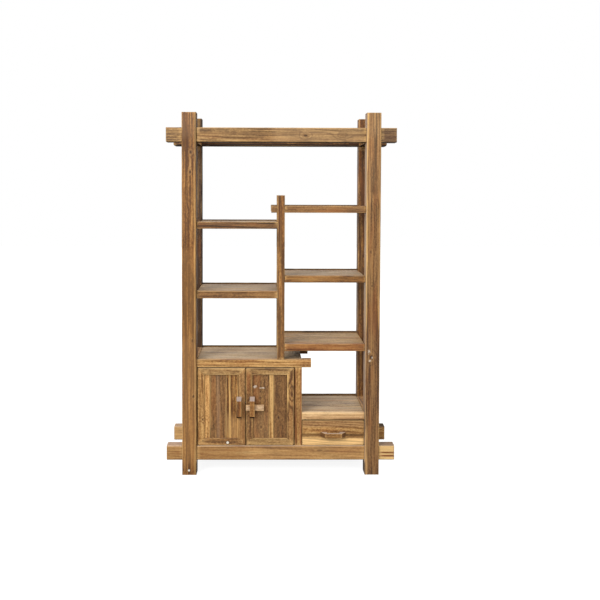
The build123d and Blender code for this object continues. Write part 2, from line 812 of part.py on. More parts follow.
with BuildPart() as drawer_front:
    add_short_bar(drawer_x, drawer_front_y, drawer_z, rail_edge_break)
    for wall_x in drawer_side_xs:
        cut_block(wall_x, (side_y[0], drawer_front_y[1]), box_z)
    cut_block(bottom_x, (bottom_y[0], drawer_front_y[1]), bottom_z)
    with Locations(*drawer_peg_locations):
        Cylinder(peg_radius, peg_length, rotation=(90, 0, 0), mode=Mode.SUBTRACT)
export(drawer_front, "drawer_front")

with BuildPart() as drawer_sides:
    for wall_x in drawer_side_xs:
        add_block(wall_x, side_y, box_z)
    cut_block(bottom_x, side_y, bottom_z)
    cut_block(bottom_x, back_y, (bottom_z[1], box_z[1]))
export(drawer_sides, "drawer_sides")

with BuildPart() as drawer_back:
    add_block(bottom_x, back_y, (bottom_z[1], box_z[1]))
export(drawer_back, "drawer_back")

with BuildPart() as drawer_bottom:
    add_block(bottom_x, bottom_y, bottom_z)
export(drawer_bottom, "drawer_bottom")

with BuildPart() as drawer_pull:
    add_pull_block(drawer_pull_x, drawer_pull_z, drawer_pull_bevel, False)
    cut_block(finger_hollow_x, finger_hollow_y, drawer_pull_z)
    with Locations(*drawer_peg_locations):
        Cylinder(peg_radius, peg_length, rotation=(90, 0, 0))
export(drawer_pull, "drawer_pull")

with BuildPart() as drawer_runners:
    runner_z = (floor_top, box_z[0] - runner_clearance)
    left_runner_x = (stile_right, stile_right + runner_width)
    right_runner_x = (post_inner - runner_width, post_inner)
    for runner_x in (left_runner_x, right_runner_x):
        add_block(runner_x, between_posts_y, runner_z)
export(drawer_runners, "drawer_runners")
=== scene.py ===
"""Looks of the reclaimed-wood bookcase: each CAD solid becomes a worn piece of old timber."""

import bmesh
import bpy
import json
import math
from collections import namedtuple
from mathutils import Matrix, Vector, noise


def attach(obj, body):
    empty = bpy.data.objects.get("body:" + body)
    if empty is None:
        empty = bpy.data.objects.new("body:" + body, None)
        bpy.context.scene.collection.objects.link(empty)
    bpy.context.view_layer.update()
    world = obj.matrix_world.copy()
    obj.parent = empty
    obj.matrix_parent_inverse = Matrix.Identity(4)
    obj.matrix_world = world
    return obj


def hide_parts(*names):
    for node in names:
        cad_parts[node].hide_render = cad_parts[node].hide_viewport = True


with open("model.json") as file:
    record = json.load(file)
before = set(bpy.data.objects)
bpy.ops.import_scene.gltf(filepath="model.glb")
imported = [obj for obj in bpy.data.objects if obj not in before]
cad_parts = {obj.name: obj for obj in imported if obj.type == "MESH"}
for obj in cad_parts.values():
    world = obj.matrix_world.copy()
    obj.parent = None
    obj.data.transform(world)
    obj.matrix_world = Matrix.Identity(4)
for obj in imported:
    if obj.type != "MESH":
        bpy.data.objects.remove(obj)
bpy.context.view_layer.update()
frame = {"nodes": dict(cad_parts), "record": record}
NODES = frame["nodes"]
BODIES = frame["record"]["behaviour"]["bodies"]
BODY_OF = {node: body for body, nodes in BODIES.items() for node in nodes}
SLOT_OF = {entry["node"]: entry["material_slot"] for entry in frame["record"]["subparts"]}


# ---------------------------------------------------------------- colours and timbers
def linear(red, green, blue):
    """Linear colour of a screen colour whose channels run from 0 to 255."""
    channels = []
    for value in (red, green, blue):
        share = value / 255
        channels.append(share / 12.92 if share <= 0.04045 else ((share + 0.055) / 1.055) ** 2.4)
    return (*channels, 1.0)


# A timber is three tones: the dark lines between growth rings, its body, and its palest streaks.
Timber = namedtuple("Timber", "dark body pale")
HONEY = Timber(linear(80, 48, 20), linear(146, 100, 50), linear(192, 144, 84))
UMBER = Timber(linear(62, 40, 20), linear(126, 88, 50), linear(166, 124, 76))
OCHRE = Timber(linear(84, 54, 28), linear(151, 109, 63), linear(197, 151, 95))
TAN = Timber(linear(92, 64, 36), linear(154, 118, 72), linear(196, 158, 104))
GOLD = Timber(linear(104, 66, 30), linear(170, 124, 70), linear(212, 168, 106))
SAPWOOD = Timber(linear(142, 92, 44), linear(208, 158, 96), linear(244, 200, 130))
RUSSET = Timber(linear(84, 44, 18), linear(150, 98, 52), linear(188, 136, 80))
CREAM = Timber(linear(146, 102, 62), linear(208, 166, 116), linear(244, 208, 156))
DRIFT = Timber(linear(104, 78, 50), linear(164, 134, 96), linear(200, 172, 132))
OAT = Timber(linear(102, 74, 42), linear(166, 130, 84), linear(202, 167, 116))
BONE = Timber(linear(140, 106, 76), linear(194, 158, 120), linear(226, 194, 156))
SAWN = Timber(linear(78, 54, 32), linear(138, 102, 64), linear(172, 136, 94))

HEART = linear(44, 25, 13)
RIM = linear(92, 54, 25)
# The colour of cracks, and of the painted shade in corners.
CRACK_AND_CORNER_SHADE = linear(34, 22, 14)
# The colour of painted shade, on undersides and on faces that turn away from the light.
PAINTED_SHADE = linear(30, 22, 18)
GRIME = linear(74, 58, 42)
RUST = linear(164, 96, 44)
STRAW = linear(196, 152, 88)
RUBBED = linear(218, 174, 112)
CHALK = linear(236, 224, 204)
# The pale grey of the painted highlight on upper faces and on faces turned to the left.
PAINTED_HIGHLIGHT = linear(188, 174, 166)
SAP = linear(228, 182, 112)

# A knot lies `along` the piece and `across` its front, both from its middle, in metres. Its
# rings are `stretch` times longer than wide, and `dark` says how strongly its heart shows.
Knot = namedtuple("Knot", "along across size stretch dark", defaults=(1.8, 0.8))
# A plug is a pale patch, `stretch` times longer than wide, with a dark rim if it is set in.
Plug = namedtuple("Plug", "along across size stretch rim", defaults=(1.0, 0.85))
# A band is a lengthwise streak of another colour: its place and half width run from -1 to 1. It
# may keep to a stretch of the piece, from its start to its end, in metres from the middle.
Band = namedtuple("Band", "place half_width colour strength start end", defaults=(-2.0, 2.0))
# A stain colours the front of a piece from one place along it to another, in metres.
Stain = namedtuple("Stain", "start end colour strength")
# A shade is painted shade on the faces that turn to one side, from one place along a piece to
# another.
Shade = namedtuple("Shade", "side strength start end", defaults=(-2.0, 2.0))
# The axis along which each side faces, and its sign.
SIDES = {"right": (0, 1), "left": (0, -1), "front": (1, -1), "top": (2, 1), "under": (2, -1)}
# A look is a timber, made lighter or darker by its lift, with the strength of its streaks, coarse
# lines, speckle, rings and reddish tints (warmth), its marks, bands, stains and painted shades, the
# grime on it, and how strongly its upper faces and its faces to the left get a painted highlight.
LOOK_DEFAULTS = {
    "lift": 0.0,
    "streaks": 1.0,
    "lines": 0.0,
    "speckle": 1.0,
    "rings": 1.0,
    "warmth": 1.0,
    "knots": (),
    "plugs": (),
    "bands": (),
    "stains": (),
    "shades": (),
    "grime": 0.25,
    "bleach": 0.12,
    "flank": 0.0,
}
Look = namedtuple("Look", ["timber", *LOOK_DEFAULTS], defaults=LOOK_DEFAULTS.values())

LOOKS = {
    "left_post": Look(
        HONEY,
        lift=-0.26,
        streaks=0.7,
        lines=1.1,
        speckle=0.6,
        rings=0.45,
        warmth=0.4,
        knots=(
            Knot(0.782, 0.009, 0.009, 1.4, 0.8),
            Knot(0.674, 0.006, 0.008, 1.6, 0.8),
            Knot(0.570, 0.001, 0.012, 3.5, 0.12),
            Knot(0.127, 0.000, 0.013, 3.5, 0.10),
            Knot(-0.252, 0.018, 0.008, 1.6, 0.55),
            Knot(-0.561, 0.024, 0.008, 1.5, 0.75),
        ),
        plugs=(Plug(-0.974, -0.002, 0.006),),
        bands=(
            Band(0.80, 0.08, SAP, 0.35),
            Band(0.24, 0.14, linear(206, 158, 100), 0.6, 0.69, 0.76),
        ),
        stains=(
            Stain(0.86, 1.01, linear(186, 148, 110), 0.2),
            Stain(-0.25, 0.25, linear(172, 124, 66), 0.35),
            Stain(-0.95, -0.25, linear(184, 136, 82), 0.50),
        ),
        grime=0.15,
        # Its inner side, and its foot below the base rail, get painted shade.
        shades=(Shade("right", 0.6, -0.36), Shade("right", 0.8, -2.0, -0.93)),
    ),
    "right_post": Look(
        UMBER,
        lift=-0.05,
        streaks=1.5,
        lines=2.0,
        rings=0.6,
        knots=(
            Knot(0.578, -0.001, 0.015, 2.8, 0.35),
            Knot(0.239, -0.013, 0.008, 1.5, 0.5),
            Knot(0.051, -0.006, 0.007, 1.5, 0.4),
            Knot(-0.342, -0.007, 0.013, 1.4, 0.85),
        ),
        plugs=(
            Plug(-0.314, -0.020, 0.006, 1.7, 0.0),
            Plug(-0.345, -0.003, 0.004, 1.2, 0.0),
            Plug(-0.363, -0.015, 0.005, 1.2, 0.0),
        ),
        bands=(
            Band(-0.90, 0.12, SAP, 0.8, -0.18),
            Band(0.86, 0.12, linear(196, 150, 92), 0.7, -0.18),
            Band(-0.82, 0.16, linear(206, 160, 104), 0.7, -2.0, -0.74),
        ),
        stains=(
            Stain(0.86, 1.01, linear(196, 158, 112), 0.4),
            Stain(0.52, 0.86, linear(186, 142, 94), 0.3),
            Stain(-0.12, 0.50, linear(88, 58, 30), 0.40),
            Stain(-1.02, -0.12, linear(90, 60, 38), 0.50),
        ),
        # Its foot below the base rail gets painted shade on the inner side.
        shades=(Shade("left", 0.8, -2.0, -0.93),),
        # Its face to the left gets a painted highlight.
        flank=0.25,
    ),
    # Darker wood, made darker still as painted shade, with painted shade on its faces to the right.
    "rear_left_post": Look(
        UMBER,
        lift=-0.56,
        knots=(Knot(-0.236, 0.010, 0.010, 1.8, 0.6), Knot(0.31, -0.012, 0.012, 1.8, 0.6)),
        shades=(Shade("right", 0.75),),
    ),
    "rear_right_post": Look(HONEY, lift=-0.30, knots=(Knot(0.15, 0.010, 0.010),)),
    "top_beam": Look(
        TAN,
        lift=-0.15,
        lines=0.9,
        speckle=0.7,
        rings=0.7,
        warmth=0.3,
        knots=(
            Knot(0.132, -0.004, 0.009, 2.0, 0.75),
            Knot(-0.265, 0.009, 0.005, 1.6, 0.5),
            Knot(0.330, -0.005, 0.010, 2.5, 0.2),
        ),
        bands=(Band(0.15, 0.12, linear(130, 96, 60), 0.5),),
        stains=(
            Stain(-0.05, 0.46, linear(204, 166, 120), 0.35),
            Stain(0.50, 0.65, linear(62, 42, 36), 0.97),
        ),
    ),
    # The rear beam is painted darker, and black along its bottom, as painted shade under the front
    # beam.
    "rear_beam": Look(
        HONEY,
        lift=-0.45,
        knots=(Knot(-0.21, 0.008, 0.012), Knot(0.36, -0.01, 0.01)),
        bands=(Band(-1.05, 0.30, PAINTED_SHADE, 1.0),),
    ),
    "base_rail": Look(
        GOLD,
        lift=-0.02,
        streaks=0.7,
        lines=0.5,
        speckle=0.5,
        rings=0.6,
        warmth=0.5,
        knots=(Knot(0.215, 0.012, 0.006, 2.5, 0.4),),
        bands=(
            Band(0.02, 0.13, linear(132, 80, 42), 1.0, 0.54),
            Band(-0.42, 0.11, linear(132, 80, 42), 1.0, 0.54),
        ),
        stains=(
            Stain(-0.65, -0.20, linear(142, 104, 66), 0.5),
            Stain(-0.20, 0.46, linear(196, 156, 112), 0.25),
            Stain(0.50, 0.65, linear(254, 212, 144), 0.95),
        ),
        shades=(Shade("top", 0.45, 0.54),),
        bleach=0.34,
    ),
    "base_rear": Look(
        GOLD,
        knots=(Knot(0.1, 0.01, 0.012),),
        stains=(Stain(-0.65, -0.50, linear(236, 190, 128), 0.9),),
        shades=(Shade("top", 0.85, 0.54),),
        bleach=0.25,
    ),
    "side_rail": Look(HONEY),
    "middle_post": Look(
        HONEY,
        lift=-0.34,
        lines=0.8,
        warmth=0.5,
        bands=(Band(0.9, 0.2, linear(84, 52, 26), 0.5),),
        stains=(Stain(-0.5, -0.05, linear(156, 114, 70), 0.25),),
    ),
    "dark_rail": Look(UMBER, lift=-0.16, lines=0.8, speckle=0.5),
    "brown_rail": Look(OCHRE, lift=-0.12, streaks=0.7, speckle=0.6, rings=0.4, warmth=0.4),
    # Rear rails get painted shade on their tops and on their front faces.
    "rear_rail": Look(HONEY, lift=-0.20, shades=(Shade("top", 0.8), Shade("front", 0.5))),
    "dun_rail": Look(UMBER, lift=-0.02, lines=0.8, speckle=0.6),
    "orange_rail": Look(HONEY, lift=-0.13, lines=0.4, speckle=0.5, rings=0.5),
    "red_rail": Look(RUSSET, lift=-0.11, speckle=0.5, rings=0.4, warmth=0.7),
    "gold_rail": Look(
        GOLD, lift=0.10, lines=0.4, bands=(Band(-0.35, 0.14, linear(140, 90, 46), 0.5),)
    ),
    "bright_rail": Look(
        CREAM,
        lift=0.28,
        speckle=0.4,
        warmth=0.3,
        bands=(Band(-0.72, 0.22, linear(132, 92, 58), 0.7, 0.02),),
    ),
    "shelf_board": Look(DRIFT, lift=0.04, streaks=1.4, rings=0.8, grime=0.15),
    "shelf_board_pale": Look(DRIFT, lift=0.26, streaks=1.5, rings=0.8, grime=0.12),
    "shelf_board_warm": Look(OAT, lift=0.04, streaks=1.4, rings=0.8, grime=0.15, bleach=0.06),
    "stile": Look(
        GOLD,
        lift=-0.08,
        lines=0.5,
        bands=(
            Band(-0.95, 0.14, linear(120, 66, 36), 0.8),
            Band(0.75, 0.30, linear(150, 92, 54), 0.6),
        ),
        shades=(Shade("right", 0.5),),
    ),
    "door_frame": Look(OCHRE, lift=-0.02, lines=0.5, rings=0.9),
    "door_frame_dark": Look(OCHRE, lift=-0.30, lines=0.5, rings=0.9),
    "door_meeting": Look(
        OCHRE,
        lift=0.06,
        lines=0.5,
        rings=0.9,
        stains=(Stain(-0.25, 0.0, linear(120, 79, 40), 0.6),),
    ),
    "door_arched": Look(
        OCHRE,
        rings=1.3,
        warmth=0.4,
        knots=(Knot(0.07, 0.006, 0.012, 2.6, 0.10),),
        bands=(Band(-0.72, 0.2, SAP, 0.95, 0.0),),
    ),
    "door_plugged": Look(
        OCHRE, lift=0.02, rings=0.9, warmth=0.4, plugs=(Plug(0.034, -0.006, 0.0075),)
    ),
    # A strong painted highlight on its upper faces.
    "door_frame_pale": Look(TAN, lift=0.25, rings=0.9, warmth=0.3, bleach=0.6),
    "door_frame_tan": Look(TAN, lift=0.01, rings=0.9, warmth=0.6),
    # A strong painted highlight on its upper faces.
    "door_frame_brown": Look(TAN, lift=-0.10, rings=0.9, warmth=0.6, bleach=0.6),
    "door_stile_pale": Look(
        GOLD, lift=-0.22, rings=0.9, knots=(Knot(-0.072, 0.010, 0.006, 1.5, 0.7),)
    ),
    "plank_light": Look(SAPWOOD, lift=-0.22),
    "plank_dark": Look(
        UMBER,
        lift=0.04,
        streaks=0.7,
        rings=0.6,
        warmth=0.5,
        bands=(Band(0.05, 0.24, linear(160, 132, 104), 0.3),),
    ),
    "plank_mixed": Look(
        HONEY,
        lift=-0.29,
        lines=0.6,
        bands=(Band(-0.55, 0.12, SAP, 0.8), Band(0.62, 0.06, SAP, 0.6)),
        stains=(Stain(-0.20, -0.06, linear(214, 166, 106), 0.5),),
    ),
    "plank_gold": Look(GOLD, lift=0.21, warmth=0.3),
    "plank_knotty": Look(
        UMBER,
        lift=-0.10,
        streaks=0.4,
        speckle=0.9,
        rings=0.35,
        warmth=0.4,
        knots=(Knot(-0.063, -0.012, 0.008, 1.6, 0.8), Knot(0.125, -0.008, 0.007, 0.6, 0.8)),
    ),
    "plank_marked": Look(
        UMBER,
        lift=0.02,
        streaks=0.4,
        speckle=1.3,
        rings=0.45,
        knots=(Knot(-0.117, 0.004, 0.007, 1.6, 0.6),),
        plugs=(Plug(0.109, -0.030, 0.010, 0.7, 0.0), Plug(0.102, 0.009, 0.013, 0.25, 0.0)),
        stains=(Stain(-0.20, -0.02, linear(168, 134, 92), 0.25),),
    ),
    "drawer_front": Look(
        GOLD,
        lift=0.04,
        warmth=0.4,
        bands=(
            Band(-0.80, 0.42, linear(248, 202, 136), 1.0),
            Band(-0.15, 0.12, UMBER.dark, 0.6),
            Band(0.75, 0.3, linear(146, 110, 78), 0.45),
        ),
    ),
    # Pulls get a strong painted highlight on their upper bevels.
    "pull": Look(HONEY, lift=-0.34, bleach=0.55),
    "pull_pale": Look(HONEY, lift=-0.20, warmth=0.6, bleach=0.55),
    "bolt": Look(BONE, lift=-0.06, streaks=1.2),
    "sawn": Look(SAWN, grime=0.4),
}

# The looks that the solids of a node take in turn: front ones first, then from left to right, then
# upwards. A node that isn't named here takes the look of its slot.
PIECE_LOOKS = {
    "front_left_post": ["left_post"],
    "front_right_post": ["right_post"],
    "rear_left_post": ["rear_left_post"],
    "rear_right_post": ["rear_right_post"],
    "top_front_beam": ["top_beam"],
    "top_rear_beam": ["rear_beam"],
    "base_front_rail": ["base_rail"],
    "base_rear_rail": ["base_rear"],
    "front_middle_post": ["middle_post"],
    "rear_middle_post": ["middle_post"],
    "upper_left_shelf_rails": ["dark_rail", "rear_rail"],
    "lower_left_shelf_rails": ["brown_rail", "rear_rail"],
    "upper_right_shelf_rails": ["dun_rail", "rear_rail"],
    "middle_right_shelf_rails": ["orange_rail", "rear_rail"],
    "lower_right_shelf_rails": ["red_rail", "rear_rail"],
    "cabinet_top_rails": ["gold_rail", "rear_rail"],
    "drawer_top_rails": ["bright_rail", "rear_rail"],
    "cabinet_top_boards": ["shelf_board_pale"],
    "drawer_top_boards": ["shelf_board_pale", "shelf_board"],
    "lower_right_shelf_boards": ["shelf_board_warm"],
    "cabinet_front_stile": ["stile"],
    "cabinet_rear_stile": ["stile"],
    "left_door_hinge_stile": ["door_stile_pale"],
    "left_door_planks": ["plank_light", "plank_dark", "plank_mixed"],
    "right_door_hinge_stile": ["door_arched"],
    "right_door_planks": ["plank_marked", "plank_gold", "plank_knotty"],
    "left_door_rails": ["door_plugged", "door_frame_pale"],
    "left_door_meeting_stile": ["door_meeting"],
    "right_door_meeting_stile": ["door_frame_dark"],
    "right_door_rails": ["door_frame_tan", "door_frame_brown"],
    "left_door_pull": ["pull"],
    "right_door_pull": ["pull_pale"],
    "drawer_pull": ["pull_pale"],
    "latch_bolt": ["bolt"],
    "drawer_front": ["drawer_front"],
}
SLOT_LOOKS = {
    "frame_wood": ["side_rail"],
    "door_wood": ["door_frame"],
    "shelf_board_wood": ["shelf_board"],
    "pale_wood": ["pull_pale"],
    "inner_wood": ["sawn"],
}


# ---------------------------------------------------------------- shader nodes
# A grain is a noise that changes `scale` times in a metre along, across and through a piece, with
# the given detail and roughness. One that shows in patches fades in while it goes from low to high.
Grain = namedtuple("Grain", "scale detail roughness low high", defaults=(2.0, 0.55, 0.0, 1.0))
GRAINS = {
    "drift": Grain((0.9, 2.5, 2.5), 1.0),
    "wave": Grain((3.4, 14, 14)),
    "ring": Grain((2.6, 60, 60), 3.0),
    "patch": Grain((5, 10, 10), 3.0),
    "broad": Grain((2.2, 42, 42), 3.0, 0.6),
    "medium": Grain((6, 190, 190), 3.0, 0.6),
    "line": Grain((2.6, 95, 95), 2.0, 0.6),
    "fibre": Grain((16, 900, 900)),
    "mottle": Grain((75, 130, 130), 4.0, 0.8),
    "broken_knot": Grain((60, 90, 90), 3.0, 0.7),
    "ragged_plug": Grain((190, 190, 190)),
    "dark_streak": Grain((5, 120, 120), 3.0, 0.6, 0.55, 0.68),
    "pale_streak": Grain((4, 90, 90), 3.0, 0.6, 0.56, 0.70),
    "rust": Grain((3.2, 24, 24), 2.0, 0.55, 0.50, 0.72),
    "straw": Grain((2.6, 38, 38), 2.0, 0.55, 0.54, 0.74),
    "crack": Grain((2.2, 210, 210), 2.0, 0.5, 0.66, 0.72),
    "pit": Grain((30, 620, 620), 1.0, 0.55, 0.62, 0.74),
    "dirt": Grain((7, 26, 26), 4.0, 0.65, 0.46, 0.74),
    "scuff": Grain((6, 60, 60), 3.0, 0.7, 0.36, 0.60),
    "gloss": Grain((5, 45, 45), 3.0, 0.55, 0.30, 0.70),
}
# The middle of a range that runs from 0 to 1.
CENTRED = 0.5


class Tree:
    """Short calls that add shader nodes and wire sockets or plain values into them."""

    def __init__(self, material):
        material.use_nodes = True
        self.nodes = material.node_tree.nodes
        self.links = material.node_tree.links
        self.nodes.clear()

    def add(self, kind, inputs=(), **settings):
        node = self.nodes.new(kind)
        for name, value in settings.items():
            setattr(node, name, value)
        for key, value in dict(inputs).items():
            self.put(node.inputs[key], value)
        return node

    def put(self, socket, value):
        if isinstance(value, bpy.types.NodeSocket):
            self.links.new(value, socket)
        else:
            socket.default_value = value

    def attribute(self, name, output="Fac"):
        """What the mesh stores under a name."""
        return self.add("ShaderNodeAttribute", attribute_name=name).outputs[output]

    def facing(self):
        """The way the surface faces, as x, y and z."""
        return self.separate(self.add("ShaderNodeNewGeometry").outputs["True Normal"])

    def math(self, operation, first, second=0.0):
        node = self.add("ShaderNodeMath", {0: first, 1: second}, operation=operation)
        return node.outputs[0]

    def plus(self, *terms):
        total = terms[0]
        for term in terms[1:]:
            total = self.math("ADD", total, term)
        return total

    def minus(self, first, second):
        return self.math("SUBTRACT", first, second)

    def times(self, first, second):
        return self.math("MULTIPLY", first, second)

    def stretch(self, vector, scale):
        node = self.add("ShaderNodeVectorMath", {0: vector, 1: scale}, operation="MULTIPLY")
        return node.outputs[0]

    def shifted(self, vector, offset):
        node = self.add("ShaderNodeVectorMath", {0: vector, 1: offset}, operation="ADD")
        return node.outputs[0]

    def combine(self, x, y, z):
        return self.add("ShaderNodeCombineXYZ", {0: x, 1: y, 2: z}).outputs[0]

    def separate(self, vector):
        return self.add("ShaderNodeSeparateXYZ", {0: vector}).outputs

    def noise(self, vector, name):
        """Noise of about 0 to 1 in the grain of that name."""
        grain = GRAINS[name]
        inputs = {
            "Vector": self.stretch(vector, grain.scale),
            "Scale": 1.0,
            "Detail": grain.detail,
            "Roughness": grain.roughness,
        }
        return self.add("ShaderNodeTexNoise", inputs).outputs["Fac"]

    def centred(self, vector, name):
        """Noise of about -0.5 to 0.5 in the grain of that name."""
        return self.minus(self.noise(vector, name), CENTRED)

    def patches(self, vector, name, outside=0.0, inside=1.0):
        """One value outside the patches of a grain and another inside them."""
        grain = GRAINS[name]
        return self.span(self.noise(vector, name), grain.low, grain.high, outside, inside)

    def span(self, value, low, high, new_low=0.0, new_high=1.0):
        """Value moved smoothly from one range to another, and held at its ends."""
        inputs = {0: value, 1: low, 2: high, 3: new_low, 4: new_high}
        return self.add("ShaderNodeMapRange", inputs, interpolation_type="SMOOTHSTEP").outputs[0]

    def mix(self, factor, first, second):
        """The first colour at a factor of 0, and the second at 1."""
        inputs = {0: factor, 6: first, 7: second}
        return self.add("ShaderNodeMix", inputs, data_type="RGBA").outputs[2]

    def ramp(self, factor, stops):
        node = self.add("ShaderNodeValToRGB", {0: factor})
        elements = node.color_ramp.elements
        while len(elements) < len(stops):
            elements.new(CENTRED)
        for element, (position, colour) in zip(elements, stops):
            element.position = position
            element.color = colour
        return node.outputs[0]


# ---------------------------------------------------------------- wood
RING_PITCH = 0.0058
RING_DRIFT = 0.08
RING_UNEVENNESS = 4.0
LATE_WOOD_SHARPNESS = 3.0
FIBRE_WAVE = 0.012
PITH_BEHIND = 0.085
PITH_SPREAD = 0.06
PITH_LEAN = 0.045
# A knot pushes the rings out by its size times the first number, and by the second number more
# if it is fully dark. The push fades with the squared distance.
KNOT_PUSH = 0.9
KNOT_PUSH_DARK = 1.2
KNOT_PUSH_FADE = -0.4


def mark_distance(tree, along, across, mark):
    """Squared distance from the middle of a mark, in multiples of its size."""
    step_along = tree.times(tree.minus(along, mark.along), 1 / (mark.size * mark.stretch))
    step_across = tree.times(tree.minus(across, mark.across), 1 / mark.size)
    return tree.plus(tree.times(step_along, step_along), tree.times(step_across, step_across))


def ring_pattern(tree, wood, place, point, seed, drift):
    """Late wood of the growth rings, from 0 to 1, and each knot with the distance from it."""
    along, across, depth = tree.separate(place)
    bent_across = tree.plus(across, tree.times(tree.centred(point, "wave"), FIBRE_WAVE))
    side = tree.plus(bent_across, tree.times(drift, RING_DRIFT), tree.times(along, PITH_LEAN))
    pith = tree.times(tree.minus(seed, CENTRED), PITH_SPREAD)
    deep = tree.plus(depth, pith, -PITH_BEHIND)
    radius = tree.math("SQRT", tree.plus(tree.times(side, side), tree.times(deep, deep)))
    knot_distances = []
    for knot in wood.knots:
        distance = mark_distance(tree, along, bent_across, knot)
        push = tree.math("POWER", math.e, tree.times(distance, KNOT_PUSH_FADE))
        push_size = knot.size * (KNOT_PUSH + KNOT_PUSH_DARK * knot.dark)
        radius = tree.plus(radius, tree.times(push, push_size))
        knot_distances.append((knot, distance))
    phase = tree.times(radius, 2 * math.pi / RING_PITCH)
    phase = tree.plus(phase, tree.times(tree.noise(point, "ring"), RING_UNEVENNESS))
    ring = tree.plus(tree.times(tree.math("SINE", phase), 0.5), 0.5)
    return tree.math("POWER", ring, LATE_WOOD_SHARPNESS), knot_distances


# How far each pattern moves the tone of a timber, and where its three colours lie on the tones.
TONE = {
    "broad": 0.44,
    "medium": 1.15,
    "line": 1.8,
    "mottle": 2.0,
    "fibre": 0.55,
    "patch": 0.42,
    "piece": 0.22,
    "late_wood": -0.48,
    "early_wood": 0.13,
    "dark_streak": -0.26,
    "pale_streak": 0.24,
}
TONE_MIDDLE = 0.50
TONE_STOPS = (0.08, 0.5, 0.95)
TINT_STRENGTH = 0.38
# Shifts that keep two grains from following each other.
LINE_SHIFT = (3.1, 8.7, 6.3)
PALE_SHIFT = (7.3, 5.1, 2.9)


def base_colour(tree, wood, point, seed, late_wood, broad, medium, fibre):
    """Body colour: the timber's tones in streaks at several scales, tinted with rust and straw."""
    pale_point = tree.shifted(point, PALE_SHIFT)
    line = tree.centred(tree.shifted(point, LINE_SHIFT), "line")
    dark_streak = tree.patches(point, "dark_streak")
    pale_streak = tree.patches(pale_point, "pale_streak")
    tone = tree.plus(
        TONE_MIDDLE + wood.lift,
        tree.times(broad, TONE["broad"] * wood.streaks),
        tree.times(medium, TONE["medium"] * wood.streaks),
        tree.times(line, TONE["line"] * wood.lines),
        tree.times(tree.centred(point, "mottle"), TONE["mottle"] * wood.speckle),
        tree.times(fibre, TONE["fibre"]),
        tree.times(tree.centred(point, "patch"), TONE["patch"]),
        tree.times(tree.minus(seed, CENTRED), TONE["piece"]),
        tree.times(late_wood, TONE["late_wood"] * wood.rings),
        TONE["early_wood"] * wood.rings,
        tree.times(dark_streak, TONE["dark_streak"] * wood.streaks),
        tree.times(pale_streak, TONE["pale_streak"] * wood.streaks),
    )
    colour = tree.ramp(tone, tuple(zip(TONE_STOPS, wood.timber)))
    tint = TINT_STRENGTH * wood.warmth
    colour = tree.mix(tree.patches(pale_point, "rust", 0.0, tint), colour, RUST)
    return tree.mix(tree.patches(point, "straw", 0.0, tint), colour, STRAW)


def kept_to(tree, along, stretch, soft, mask):
    """A mask that is kept to the stretch of a band or shade, with softened ends."""
    if stretch.start > -1.0:
        mask = tree.times(mask, tree.span(along, stretch.start - soft, stretch.start + soft))
    if stretch.end < 1.0:
        mask = tree.times(mask, tree.span(along, stretch.end - soft, stretch.end + soft, 1.0, 0.0))
    return mask


# How far the ends of bands and stains wander along the piece, in metres, how soft they are, and how
# far the sides of bands wander across it, from -1 to 1.
END_WANDER = 0.08
BAND_END_SOFTNESS = 0.04
STAIN_END_SOFTNESS = 0.03
SIDE_WANDER = 0.55
# A stain lets this much of the wood show, and lies on faces that turn this far to the front.
STAIN_CLEARNESS = 0.35
FRONTWARD = (-0.8, -0.3)
# A band fades over this part of its half width, is weaker on faces that turn away from the front
# and the back, and shows the growth rings.
BAND_EDGE = (0.7, 1.3)
BAND_FACING = (0.3, 0.8)
BAND_ON_SIDES = 0.35
BAND_RINGS = 0.45


def with_bands(tree, wood, colour, place, across_share, bend, late_wood):
    """Adds stained stretches, and lengthwise streaks such as sapwood left along an edge."""
    along = tree.plus(tree.separate(place)[0], tree.times(bend, END_WANDER))
    forward = tree.facing()[1]
    for stain in wood.stains:
        soft = min(STAIN_END_SOFTNESS, (stain.end - stain.start) / 4)
        inside = tree.span(along, stain.start - soft, stain.start + soft, 0.0, stain.strength)
        inside = tree.times(inside, tree.span(along, stain.end - soft, stain.end + soft, 1.0, 0.0))
        inside = tree.times(inside, tree.span(forward, *FRONTWARD, 1.0, 0.0))
        colour = tree.mix(inside, colour, tree.mix(STAIN_CLEARNESS, stain.colour, colour))
    bent_share = tree.plus(across_share, tree.times(bend, SIDE_WANDER))
    broadside = tree.span(tree.math("ABSOLUTE", forward), *BAND_FACING, BAND_ON_SIDES, 1.0)
    for band in wood.bands:
        off_centre = tree.math("ABSOLUTE", tree.minus(bent_share, band.place))
        edge = (band.half_width * share for share in BAND_EDGE)
        mask = tree.times(tree.span(off_centre, *edge, band.strength, 0.0), broadside)
        mask = kept_to(tree, along, band, BAND_END_SOFTNESS, mask)
        tinted = tree.mix(tree.times(late_wood, BAND_RINGS), band.colour, wood.timber.dark)
        colour = tree.mix(mask, colour, tinted)
    return colour


# Squared distances from the middle of a mark, in multiples of its size, over which each part fades.
KNOT_HALO = (1.0, 3.0)
KNOT_RIM = (0.2, 1.6)
KNOT_HEART = (0.10, 0.45)
PLUG_RIM = (1.4, 2.4)
PLUG_FACE = (0.7, 1.3)
HALO_STRENGTH = 0.28
RIM_STRENGTH = 0.8
KNOT_BROKENNESS = 5.0
# A plug with a full rim is even, and one without a rim is ragged and lets the wood show.
FULL_RIM = 0.85
PLUG_RAGGEDNESS = 9.0
PLUG_STRENGTH = 0.6
PLUG_STRENGTH_RIM = 0.4


